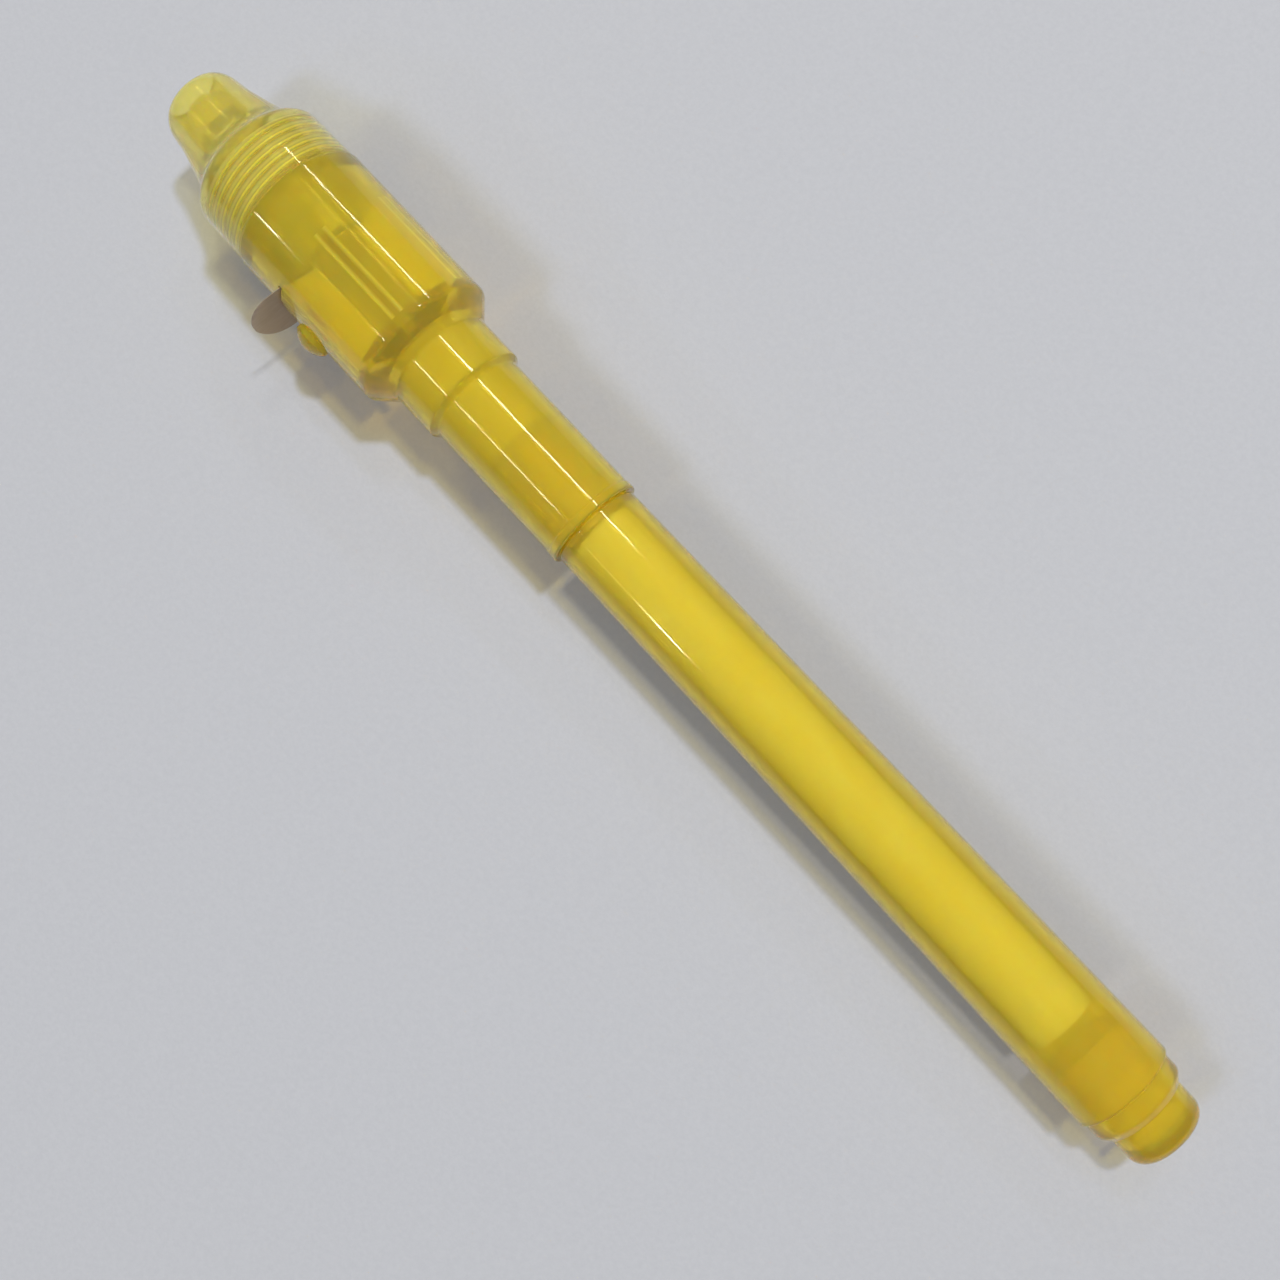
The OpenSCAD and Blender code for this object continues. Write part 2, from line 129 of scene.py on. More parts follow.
class Shader:
    """A material under construction, with short calls for the nodes that it is made of."""

    def __init__(self, name):
        self.material = bpy.data.materials.new(name)
        self.material.use_nodes = True
        self.nodes = self.material.node_tree.nodes
        self.links = self.material.node_tree.links
        self.base = self.nodes["Principled BSDF"]
        self.output = self.nodes["Material Output"]
        self.position = self.nodes.new("ShaderNodeTexCoord").outputs["Object"]

    def put(self, socket, value):
        """Sets a socket of a node to a value, or joins it to another node's socket."""
        if isinstance(value, bpy.types.NodeSocket):
            self.links.new(value, socket)
        else:
            socket.default_value = value

    def set(self, **values):
        """Sets sockets of the Principled shader by name, with _ for a space."""
        for name, value in values.items():
            self.put(self.base.inputs[name.replace("_", " ")], value)

    def stretched(self, stretch):
        """The object's coordinates in millimetres, with each axis stretched."""
        mapping = self.nodes.new("ShaderNodeMapping")
        mapping.inputs["Scale"].default_value = [1 / (MM * s) for s in stretch]
        self.links.new(self.position, mapping.inputs["Vector"])
        return mapping.outputs["Vector"]

    def noise(self, size, stretch=(1, 1, 1), detail=3.0, roughness=0.5):
        """Noise whose blobs are about size millimetres across, longer along a stretched axis."""
        node = self.nodes.new("ShaderNodeTexNoise")
        self.links.new(self.stretched(stretch), node.inputs["Vector"])
        node.inputs["Scale"].default_value = 1 / size
        node.inputs["Detail"].default_value = detail
        node.inputs["Roughness"].default_value = roughness
        return node.outputs["Fac"]

    def cracks(self, size, stretch):
        """Thin lines, such as fine scratches."""
        node = self.nodes.new("ShaderNodeTexVoronoi")
        node.feature = "DISTANCE_TO_EDGE"
        self.links.new(self.stretched(stretch), node.inputs["Vector"])
        node.inputs["Scale"].default_value = 1 / size
        return self.between(node.outputs["Distance"], 0.0, 0.03, 0.0, 1.0)

    def between(self, source, low, high, new_low, new_high):
        """Maps a range of a value onto another range, and holds it at the ends."""
        node = self.nodes.new("ShaderNodeMapRange")
        self.links.new(source, node.inputs["Value"])
        limits = {"From Min": low, "From Max": high, "To Min": new_low, "To Max": new_high}
        for name, value in limits.items():
            node.inputs[name].default_value = value
        return node.outputs["Result"]

    def blend(self, source, *stops):
        """A colour that runs through (position, colour) stops as the source goes from 0 to 1."""
        node = self.nodes.new("ShaderNodeValToRGB")
        self.links.new(source, node.inputs["Fac"])
        ramp = node.color_ramp.elements
        while len(ramp) < len(stops):
            ramp.new(0.5)
        for element, (place, colour) in zip(ramp, stops):
            element.position = place
            element.color = (*colour, 1)
        return node.outputs["Color"]

    def math(self, operation, a, b):
        node = self.nodes.new("ShaderNodeMath")
        node.operation = operation
        self.put(node.inputs[0], a)
        self.put(node.inputs[1], b)
        return node.outputs["Value"]

    def bump(self, height, depth, strength=1.0):
        """Raises the surface by up to depth millimetres where height goes from 0 to 1."""
        node = self.nodes.new("ShaderNodeBump")
        node.inputs["Strength"].default_value = strength
        node.inputs["Distance"].default_value = depth * MM
        self.links.new(height, node.inputs["Height"])
        if self.base.inputs["Normal"].is_linked:
            self.links.new(self.base.inputs["Normal"].links[0].from_socket, node.inputs["Normal"])
        self.links.new(node.outputs["Normal"], self.base.inputs["Normal"])

    def let_lamps_through(self, colour):
        """Lets light from the lamps through the surface, tinted, so that what is inside is lit."""
        passing = self.nodes.new("ShaderNodeBsdfTransparent")
        passing.inputs["Color"].default_value = (*colour, 1)
        ray = self.nodes.new("ShaderNodeLightPath")
        mix = self.nodes.new("ShaderNodeMixShader")
        self.links.new(ray.outputs["Is Shadow Ray"], mix.inputs["Fac"])
        self.links.new(self.base.outputs["BSDF"], mix.inputs[1])
        self.links.new(passing.outputs["BSDF"], mix.inputs[2])
        self.links.new(mix.outputs["Shader"], self.output.inputs["Surface"])

    def pen_axes(self):
        """Distance along the pen, turns round its axis and distance from it, in millimetres."""
        split = self.nodes.new("ShaderNodeSeparateXYZ")
        self.links.new(self.stretched((1, 1, 1)), split.inputs["Vector"])
        x, y, z = (split.outputs[axis] for axis in "XYZ")
        squares = self.math("ADD", self.math("MULTIPLY", y, y), self.math("MULTIPLY", z, z))
        radius = self.math("SQRT", squares, 0.0)
        turns = self.math("MULTIPLY", self.math("ARCTAN2", z, y), 1 / TURN)
        return x, turns, radius

    def inside(self, value, low, high):
        """1 between two limits and 0 elsewhere."""
        above = self.math("GREATER_THAN", value, low)
        return self.math("MULTIPLY", above, self.math("LESS_THAN", value, high))

    def painted_highlight_lines(self):
        """1 on the painted highlight lines at thread crests and rib sides, fainter on the outside: paler,
        less clear plastic that stands in for the bright lines of light through the thread and ribs.
        """
        x, turns, radius = self.pen_axes()
        along = self.math("MULTIPLY", self.math("SUBTRACT", x, thread_x), 1 / PITCH)
        phase = self.math("FRACT", self.math("SUBTRACT", along, turns), 0.0)
        bank = self.math("ABSOLUTE", self.math("SUBTRACT", phase, 0.5), 0.0)
        crest = self.between(bank, 0.05, 0.28, 1.0, 0.0)
        crest = self.math("MULTIPLY", crest, self.inside(x, thread_x + 0.1, thread_end_x - 0.1))
        # painted highlight lines: strongest on the inner thread, fainter on the outer surface over it
        crest = self.math("MULTIPLY", crest, self.between(radius, 6.9, 7.1, 0.8, 0.28))
        # MULTIPLY_ADD adds the node's own 0.5, so a rib is at the middle of its sector
        sector = self.math("MULTIPLY_ADD", self.math("SUBTRACT", turns, 0.25), RIBS)
        sector = self.math("SUBTRACT", self.math("FRACT", sector, 0.0), 0.5)
        swing = self.math("SINE", self.math("MULTIPLY", sector, TURN / RIBS), 0.0)
        off = self.math("ABSOLUTE", self.math("MULTIPLY", radius, swing), 0.0)
        side = self.math("ABSOLUTE", self.math("SUBTRACT", off, rib_half_t), 0.0)
        line = self.math("MULTIPLY", self.between(side, 0.04, 0.3, 1.0, 0.0),
                         self.inside(x, chamber_x, ribs_end_x))
        # painted rib lines: strongest on the chamber wall, fainter on the outer wall where the ribs show
        # through
        line = self.math("MULTIPLY", line, self.between(radius, chamber_r - 0.2, chamber_r, 1.0, 0.3))
        return self.math("MAXIMUM", crest, line)

    def absorb(self, colour, density):
        """Darkens light by how far it goes inside, density per metre."""
        volume = self.nodes.new("ShaderNodeVolumeAbsorption")
        volume.inputs["Color"].default_value = (*colour, 1)
        volume.inputs["Density"].default_value = density
        self.links.new(volume.outputs["Volume"], self.output.inputs["Volume"])


def cloudy_plastic(name, light, deep, passing, haze, front_haze, rough, absorbed, density):
    """Cloudy tinted plastic under a polished skin, with flow marks, fine scratches, uneven clarity and
    painted highlight lines at the thread crests and rib sides.
    front_haze is the haze ahead of the thread."""
    s = Shader(name)
    flow = s.noise(2.2, stretch=(3, 1, 1), detail=4)
    highlight_lines = s.painted_highlight_lines()
    pale = s.math("SUBTRACT", flow, highlight_lines)
    # the palest colour falls on the painted highlight lines, and also on faint flow marks
    s.set(Base_Color=s.blend(pale, (0.0, (1.0, 0.92, 0.24)), (0.3, light), (0.7, deep)))
    x = s.pen_axes()[0]
    clear = s.between(x, thread_end_x - 0.5, thread_end_x + 1.5, 1 - haze, 1 - front_haze)
    # the painted highlight lines are also made less clear, so that they read as bright lines
    clear = s.math("MULTIPLY", clear, s.between(highlight_lines, 0, 1, 1.0, 0.4))
    s.set(Transmission_Weight=clear, IOR=1.42, Specular_Tint=(1.0, 0.88, 0.5, 1))
    s.set(Subsurface_Weight=0.8, Subsurface_Radius=(1.6, 1.1, 0.2), Subsurface_Scale=MM)
    cloud = s.noise(0.8, stretch=(3, 1, 1), detail=5)
    s.set(Roughness=s.between(cloud, 0.35, 0.7, rough - 0.05, rough + 0.05))
    s.set(Coat_Weight=0.6, Coat_Roughness=0.04, Coat_IOR=1.36)
    s.bump(s.noise(1.6, stretch=(2.5, 1, 1), detail=2), 0.010)
    s.bump(s.cracks(1.8, (9, 1, 1)), 0.001, 0.4)
    s.set(Coat_Normal=s.base.inputs["Normal"].links[0].from_socket)
    s.absorb(absorbed, density)
    s.let_lamps_through(passing)
    return s.material


def barrel_plastic():
    return cloudy_plastic(
        "barrel_plastic", light=(1.0, 0.83, 0.115), deep=(1.0, 0.79, 0.08), passing=(0.76, 0.76, 0.82),
        haze=0.22, front_haze=0.22, rough=0.075, absorbed=(0.98, 0.86, 0.12), density=250)


def cap_plastic():
    return cloudy_plastic(
        "cap_plastic", light=(1.0, 0.86, 0.12), deep=(1.0, 0.82, 0.085), passing=(0.71, 0.67, 0.50),
        haze=0.24, front_haze=0.24, rough=0.075, absorbed=(0.98, 0.88, 0.12), density=250)


def nose_plastic():
    return cloudy_plastic(
        "nose_plastic", light=(1.0, 0.91, 0.32), deep=(1.0, 0.87, 0.24), passing=(0.80, 0.77, 0.62),
        haze=0.13, front_haze=0.21, rough=0.045, absorbed=(0.98, 0.92, 0.4), density=170)


def fibre(name, light, deep, strand):
    """Bonded fibre: fine strands that run along the pen, with loose ends that catch light."""
    s = Shader(name)
    strands = s.noise(strand, stretch=(22, 1, 1), detail=6, roughness=0.65)
    patches = s.noise(4.0, stretch=(2.5, 1, 1))
    s.set(Base_Color=s.blend(strands, (0.35, deep), (0.6, light)))
    s.set(Roughness=s.between(patches, 0.3, 0.7, 0.5, 0.8), Sheen_Weight=0.25, Sheen_Roughness=0.5)
    s.set(Subsurface_Weight=0.25, Subsurface_Radius=(0.6 * MM, 0.5 * MM, 0.3 * MM), Subsurface_Scale=1.0)
    s.bump(strands, 0.05)
    return s.material


def clear_film():
    s = Shader("clear_film")
    ripples = s.noise(1.4, stretch=(7, 1, 1))
    s.set(Base_Color=s.blend(ripples, (0.3, (1.0, 1.0, 0.95)), (0.7, (0.97, 0.97, 0.9))))
    s.set(Transmission_Weight=0.96, IOR=1.3, Roughness=s.between(ripples, 0.3, 0.7, 0.08, 0.2))
    s.bump(ripples, 0.02)
    s.let_lamps_through((0.97, 0.97, 0.94))
    return s.material


def soft_plastic(name, light, deep, clear):
    """Soft milky plastic, such as a seal or an insulating tube."""
    s = Shader(name)
    cloud = s.noise(1.2, detail=4)
    s.set(Base_Color=s.blend(cloud, (0.35, light), (0.7, deep)))
    s.set(Transmission_Weight=clear, IOR=1.4, Roughness=s.between(cloud, 0.3, 0.7, 0.25, 0.4))
    s.bump(s.noise(0.3, detail=4), 0.01)
    s.let_lamps_through((0.85, 0.82, 0.7))
    return s.material


def metal(name, light, deep, grain, stretch, rough):
    """Bare metal with a fine grain and a little tarnish."""
    s = Shader(name)
    tarnish = s.noise(1.3, detail=5, roughness=0.6)
    brushing = s.noise(grain, stretch=stretch, detail=4, roughness=0.7)
    s.set(Base_Color=s.blend(tarnish, (0.4, light), (0.75, deep)), Metallic=1.0)
    s.set(Roughness=s.between(brushing, 0.3, 0.7, rough - 0.08, rough + 0.1))
    s.bump(brushing, 0.004)
    return s.material


def dark_nylon():
    s = Shader("dark_nylon")
    grain = s.noise(0.25, detail=5)
    s.set(Base_Color=s.blend(grain, (0.3, (0.035, 0.035, 0.035)), (0.7, (0.07, 0.07, 0.065))))
    s.set(Roughness=s.between(grain, 0.3, 0.7, 0.35, 0.55))
    s.bump(grain, 0.01)
    return s.material


def smoke_film():
    """Smoky polyester film with faint drawing lines."""
    s = Shader("smoke_film")
    lines = s.noise(0.3, stretch=(1, 12, 1), detail=4)
    s.set(Base_Color=s.blend(lines, (0.3, (0.82, 0.68, 0.54)), (0.7, (0.73, 0.60, 0.47))))
    s.set(Transmission_Weight=0.55, IOR=1.5, Roughness=s.between(lines, 0.3, 0.7, 0.12, 0.24))
    s.bump(lines, 0.004)
    s.let_lamps_through((0.62, 0.61, 0.60))
    return s.material


def lens_resin():
    s = Shader("lens_resin")
    cast = s.noise(1.0, detail=2)
    s.set(Base_Color=s.blend(cast, (0.3, (1.0, 1.0, 0.99)), (0.7, (0.96, 0.97, 0.98))))
    s.set(Transmission_Weight=1.0, IOR=1.52, Roughness=s.between(cast, 0.3, 0.7, 0.01, 0.05))
    s.bump(cast, 0.01)
    s.let_lamps_through((0.93, 0.94, 0.95))
    return s.material


def chip_material():
    """Light-emitting die: a dark violet block with bright pads."""
    s = Shader("led_die")
    pads = s.noise(0.09, detail=1)
    s.set(Base_Color=s.blend(pads, (0.45, (0.16, 0.10, 0.24)), (0.55, (0.75, 0.62, 0.3))))
    s.set(Metallic=0.3, Roughness=s.between(pads, 0.3, 0.7, 0.2, 0.4))
    return s.material


def paper():
    """Plain pale floor with a very fine grain."""
    s = Shader("paper")
    grain = s.noise(0.5, detail=6, roughness=0.7)
    s.set(Base_Color=s.blend(grain, (0.35, (0.555, 0.565, 0.60)), (0.65, (0.585, 0.595, 0.63))))
    s.set(Roughness=0.9)
    s.bump(grain, 0.02)
    return s.material


# ---------------------------------------------------------------- mesh work


def eased(outline):
    """Rounds the corners of an outline of (x, r) or (x, r, ease) points, with a firm edge each side."""
    points = [(Vector(p[:2]), p[2] if len(p) > 2 else 0.0) for p in outline]
    made = []
    for i, (corner, ease) in enumerate(points):
        if not ease:
            made.append(corner)
            continue
        before = points[i - 1][0] - corner
        after = points[(i + 1) % len(points)][0] - corner
        reach = min(ease, 0.42 * before.length, 0.42 * after.length)
        a = corner + before.normalized() * reach
        b = corner + after.normalized() * reach
        firm = 0.12 * reach
        made.append(a + before.normalized() * firm)
        for k in range(EASE_STEPS + 1):
            t = k / EASE_STEPS
            made.append(a * (1 - t) ** 2 + corner * 2 * t * (1 - t) + b * t * t)
        made.append(b + after.normalized() * firm)
    return [(p.x, p.y) for p in made]


def curve(a, b, c, d, steps=10):
    """Points on a Bezier curve, without its first point."""
    a, b, c, d = map(Vector, (a, b, c, d))
    made = []
    for k in range(1, steps + 1):
        t = k / steps
        u = 1 - t
        p = a * u ** 3 + b * 3 * u * u * t + c * 3 * u * t * t + d * t ** 3
        made.append((p.x, p.y))
    return made


def arc(x, r, start, end, steps=12):
    """Points on a circular arc about a point on the axis, start and end in degrees from the axis."""
    made = []
    for k in range(steps + 1):
        a = math.radians(start + (end - start) * k / steps)
        made.append((x + r * math.cos(a), r * math.sin(a)))
    return made


def piece(name, points, faces, material):
    """A mesh object from points in millimetres, smooth except at its sharp edges."""
    mesh = bpy.data.meshes.new(name)
    mesh.from_pydata([Vector(p) * MM for p in points], [], faces)
    made = bpy.data.objects.new(name, mesh)
    bpy.context.scene.collection.objects.link(made)
    made.data.materials.append(material)
    polish(made)
    return made


def polish(made):
    """Smooth shading with sharp edges kept."""
    made.data.validate()
    made.data.shade_smooth()
    made.data.set_sharp_from_angle(angle=math.radians(SHARP_ANGLE))
    made.data.update()


def turned(name, outline, material, closed=False, lift=None):
    """A piece turned about the pen's axis. Its outline runs from axis to axis, or round a loop if closed.
    lift(x, r, angle) moves a point off the outline's radius."""
    points, rings = [], []
    for x, r in outline:
        if r < 1e-6:
            rings.append([len(points)])
            points.append((x, 0, 0))
            continue
        rings.append(range(len(points), len(points) + SEGMENTS))
        for k in range(SEGMENTS):
            a = TURN * k / SEGMENTS
            rho = r + (lift(x, r, a) if lift else 0)
            points.append((x, rho * math.cos(a), rho * math.sin(a)))
    faces = []
    pairs = list(zip(rings, rings[1:])) + ([(rings[-1], rings[0])] if closed else [])
    for one, two in pairs:
        for k in range(SEGMENTS):
            j = (k + 1) % SEGMENTS
            if len(one) == 1 and len(two) == 1:
                continue
            if len(one) == 1:
                faces.append((one[0], two[j], two[k]))
            elif len(two) == 1:
                faces.append((one[k], one[j], two[0]))
            else:
                faces.append((one[k], one[j], two[j], two[k]))
    made = piece(name, points, faces, material)
    face_out(made)
    return made


def face_out(made):
    """Turns the faces of a closed mesh outwards."""
    volume = sum(
        made.data.vertices[t.vertices[0]].co.dot(
            made.data.vertices[t.vertices[1]].co.cross(made.data.vertices[t.vertices[2]].co))
        for t in triangles(made.data))
    if volume < 0:
        made.data.flip_normals()


def triangles(mesh):
    mesh.calc_loop_triangles()
    return mesh.loop_triangles


def prism(name, outline, start, end, place, material):
    """An outline of (u, v) points pushed from start to end. place(u, v, w) gives a point's position."""
    n = len(outline)
    points = [place(u, v, w) for w in (start, end) for u, v in outline]
    faces = [tuple(range(n)), tuple(range(2 * n - 1, n - 1, -1))]
    faces += [(k, k + n, (k + 1) % n + n, (k + 1) % n) for k in range(n)]
    made = piece(name, points, faces, material)
    face_out(made)
    return made


def box_tool(low, high):
    """A box to cut with, between two corners."""
    outline = [(low[0], low[1]), (high[0], low[1]), (high[0], high[1]), (low[0], high[1])]
    return prism("tool", outline, low[2], high[2], lambda u, v, w: (u, v, w), None)


def peg_tool(x, low_y, high_y, r, steps=64):
    """A round peg to cut with, which points along Y."""
    outline = [(r * math.cos(TURN * k / steps), r * math.sin(TURN * k / steps)) for k in range(steps)]
    return prism("tool", outline, low_y, high_y, lambda u, v, w: (x + u, w, v), None)


def combine(made, tool, operation):
    """Joins a tool to a piece, or cuts it away. The cut faces get the piece's own material."""
    tool.data.materials[0] = made.data.materials[0]
    modifier = made.modifiers.new(operation, "BOOLEAN")
    modifier.operation = operation
    modifier.solver = "MANIFOLD"
    modifier.object = tool
    graph = bpy.context.evaluated_depsgraph_get()
    mesh = bpy.data.meshes.new_from_object(made.evaluated_get(graph))
    made.modifiers.clear()
    made.data = mesh
    bpy.data.objects.remove(tool)


def settle(made, body, slot, *nodes):
    """Puts a piece on its body and hides the CAD nodes that it stands for. The slot is not used."""
    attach(made, body)
    if nodes:
        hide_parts(*nodes)


# ---------------------------------------------------------------- thread


def ridge(x, angle):
    """Height of the right-hand thread, from 0 in the groove to 1 on the ridge."""
    phase = ((x - thread_x) / PITCH - angle / TURN) % 1
    bank = min(abs(phase - 0.5) * 2, 1)
    height = min(max((0.62 - bank) / 0.25, 0), 1)
    fade = min(max(min(x - thread_x, thread_end_x - x) / (0.35 * PITCH), 0), 1)
    return height * height * (3 - 2 * height) * fade


def thread_stations():
    """Stations along the thread, close enough to show its shape."""
    count = round((thread_end_x - thread_x) / PITCH * THREAD_STEPS)
    return [thread_x + (thread_end_x - thread_x) * k / count for k in range(count + 1)]


# ---------------------------------------------------------------- pen


def make_barrel(plastic):
    outline = eased([
        (barrel_x, barrel_tail_r, 0.25), (shoulder_x, barrel_front_r, 0.2), (shoulder_x, land_r, 0.15),
        (land_x, land_r, 0.1), (land_x + 0.5, section_r, 0.25), (section_x, section_r, 0.4),
        (tip_x - 0.3, tip_r, 0.15), (tip_x, tip_r - 0.3, 0.1), (tip_x, nib_hole_r, 0.1),
        (section_x - 1, nib_hole_r, 0.1), (section_x - 1, section_bore_r, 0.2),
        (bore_end_x, section_bore_r, 0.15), (bore_end_x, bore_front_r, 0.25),
        (spigot_x, bore_tail_r, 0.3), (barrel_x, bore_tail_r, 0.15),
    ])
    made = turned("barrel_tube", outline, plastic, closed=True)
    settle(made, "pen", "yellow_plastic", "barrel")


def make_plug(plastic):
    dome = 1.5
    wall = 0.9
    hollow_r = knob_r - wall
    flange_bevel = 0.75
    spigot_r = bore_tail_r - 0.05
    floor_x = plug_x + 1.0
    outline = [(plug_x, 0.0)]
    for degrees in range(0, 91, 9):
        a = math.radians(degrees)
        outline.append((plug_x + dome - dome * math.cos(a), knob_r - dome + dome * math.sin(a)))
    outline += eased([
        (flange_x - 0.5, knob_r), (flange_x, knob_r, 0.12), (flange_x, flange_r - 0.6, 0.1),
        (flange_x + flange_bevel, flange_r, 0.25), (barrel_x - 0.05, flange_r, 0.15),
        (barrel_x - 0.05, spigot_r), (spigot_x - 0.3, spigot_r, 0.2), (spigot_x, spigot_r - 0.3, 0.1),
        (spigot_x, hollow_r, 0.2), (floor_x, hollow_r, 1.2)])
    outline += [(floor_x, 0.0)]
    made = turned("tail_plug", outline, plastic)
    settle(made, "pen", "yellow_plastic", "end_plug")


def make_reservoir(material):
    """The fibre core, a little uneven along its length."""

    def swell(x, r, angle):
        wave = math.sin(x * 0.9 + angle) + 0.6 * math.sin(x * 2.3 - 2 * angle)
        wave += 0.4 * math.sin(5 * angle + x * 0.4)
        return -0.02 + 0.008 * wave

    count = 60
    length = core_end_x - core_x
    side = [(core_x + 0.3 + (length - 0.6) * k / count, core_r) for k in range(count + 1)]
    outline = [(core_x, 0.0), (core_x, core_r - 0.35), (core_x + 0.08, core_r - 0.12)] + side
    outline += [(core_end_x - 0.08, core_r - 0.12), (core_end_x, core_r - 0.35), (core_end_x, 0.0)]
    made = turned("ink_core", outline, material, lift=swell)
    settle(made, "pen", "ink_fibre", "ink_reservoir")


# ---------------------------------------------------------------- cap


def rib_tool(index, plastic):
    """One rib inside the lamp body, wider where it meets the wall."""
    angle = math.radians(90 + 360 / RIBS * index)
    half = rib_half_t
    outline = [
        (rib_in_r + 0.12, -half + 0.08), (rib_in_r, -half + 0.2), (rib_in_r, half - 0.2),
        (rib_in_r + 0.12, half - 0.08), (chamber_r - 0.35, half), (chamber_r - 0.1, half + 0.1),
        (chamber_r + 0.25, half + 0.4), (chamber_r + 0.25, -half - 0.4),
        (chamber_r - 0.1, -half - 0.1), (chamber_r - 0.35, -half),
    ]

    def place(u, v, w):
        return w, u * math.cos(angle) - v * math.sin(angle), u * math.sin(angle) + v * math.cos(angle)

    return prism("rib", outline, chamber_x - 0.2, ribs_end_x, place, plastic)


def make_cap(plastic):
    outline = [(chamber_x, 0.0)]
    outline += eased([
        (chamber_x, chamber_r, 0.35), (web_x, chamber_r, 0.2), (web_x, web_r, 0.12),
        (seat_bore_x, web_r, 0.1), (seat_bore_x, seat_bore_r, 0.1), (neck_end_x, seat_bore_r, 0.1),
        (neck_end_x, neck_r - 0.25, 0.1), (neck_end_x - 0.25, neck_r, 0.1)])
    outline += [(x, neck_r) for x in reversed(thread_stations())]
    outline += eased([
        (seam_x, neck_r), (seam_x, body_r, 0.18), (body_x, body_r, 0.3), (bevel_x, collar_r, 0.2),
        (collar_x + 0.3, collar_r, 0.12), (collar_x + 0.15, collar_r - 0.15, 0.1),
        (collar_x - 0.25, sleeve_r, 0.15), (sleeve_x, sleeve_r, 0.08), (sleeve_x - 0.15, lip_r, 0.1),
        (cap_x, lip_r, 0.25), (cap_x, socket_r + 0.4, 0.15), (cap_x + 0.4, socket_r, 0.15),
        (seal_pocket_x, socket_r, 0.1), (seal_pocket_x, seal_pocket_r, 0.1),
        (partition_x, seal_pocket_r, 0.3)])
    outline += [(partition_x, 0.0)]

    def lift(x, r, angle):
        on_neck = abs(r - neck_r) < 0.01 and thread_x <= x <= thread_end_x
        return THREAD_DEPTH * ridge(x, angle) if on_neck else 0

    made = turned("cap_shell", outline, plastic, lift=lift)
    for index in range(RIBS):
        rib = rib_tool(index, plastic)
        button_head_room = peg_tool(button_x, 4.2, 5.9, 2.75)
        combine(rib, button_head_room, "DIFFERENCE")
        combine(made, rib, "UNION")
    button_hole = peg_tool(button_x, 4.2, body_r + 0.5, 1.97)
    combine(made, button_hole, "DIFFERENCE")
    slot_half_w = tab_half_w + 0.1
    tab_slot = box_tool((tab_x - 0.2, 4.4, -slot_half_w), (tab_x + 0.2, body_r + 0.5, slot_half_w))
    combine(made, tab_slot, "DIFFERENCE")
    blade_channel = box_tool((web_x - 0.2, 4.0, -0.9), (seat_bore_x + 0.2, 5.0, 0.9))
    combine(made, blade_channel, "DIFFERENCE")
    bridge_root = box_tool((chamber_x - 0.8, 3.85, -0.85), (chamber_x + 0.2, 4.15, 0.85))
    combine(made, bridge_root, "DIFFERENCE")
    polish(made)
    settle(made, "cap", "yellow_plastic", "cap_body")


def make_cells(steel, nylon):
    """Three button cells: a can that is crimped over a sealing ring, round a negative cap."""
    for i in (1, 2, 3):
        x0, x1, can_r = span(f"cell_can_{i}")
        c0, c1, cap_r = span(f"cell_cap_{i}")
        outline = [(x0, 0.0)]
        outline += eased([
            (x0, 2.5), (x0 + 0.05, 2.6, 0.05), (x0 + 0.05, 2.9, 0.05), (x0, 3.0), (x0, can_r, 0.3),
            (x1 - 0.1, can_r, 0.35), (x1, can_r - 0.35, 0.1), (x1 - 0.05, cap_r + 0.5, 0.05),
            (x0 + 0.3, cap_r + 0.45, 0.1)])
        outline += [(x0 + 0.3, 0.0)]
        can = turned(f"can_{i}", outline, steel)
        settle(can, "cap", "cell_steel", f"cell_can_{i}")
        outline = [(c0, 0.0)]
        outline += eased([
            (c0, cap_r, 0.1), (c1 - 0.16, cap_r, 0.1), (c1 - 0.02, cap_r - 0.22, 0.12),
            (c1 - 0.02, cap_r - 0.7, 0.05), (c1 - 0.05, cap_r - 0.8, 0.05)])
        outline += [(c1 - 0.05, 0.0)]
        lid = turned(f"negative_cap_{i}", outline, steel)
        settle(lid, "cap", "cell_steel", f"cell_cap_{i}")
        g0, g1, ring_r = span(f"cell_gasket_{i}")
        outline = eased([
            (g0, cap_r + 0.02), (g0, ring_r), (g1, ring_r, 0.1), (g1 + 0.05, ring_r - 0.2, 0.1),
            (g1, cap_r + 0.02, 0.05)])
        ring = turned(f"sealing_ring_{i}", outline, nylon, closed=True)
        settle(ring, "cap", "gasket_nylon", f"cell_gasket_{i}")


def make_cell_sleeve(material):
    inner_r = sleeve_out_r - 0.3
    outline = eased([
        (sleeve_start_x, inner_r, 0.08), (sleeve_start_x, sleeve_out_r, 0.08),
        (sleeve_end_x, sleeve_out_r, 0.08), (sleeve_end_x, inner_r, 0.08)])
    made = turned("cell_tube", outline, material, closed=True)
    settle(made, "cap", "sleeve_plastic", "cell_sleeve")


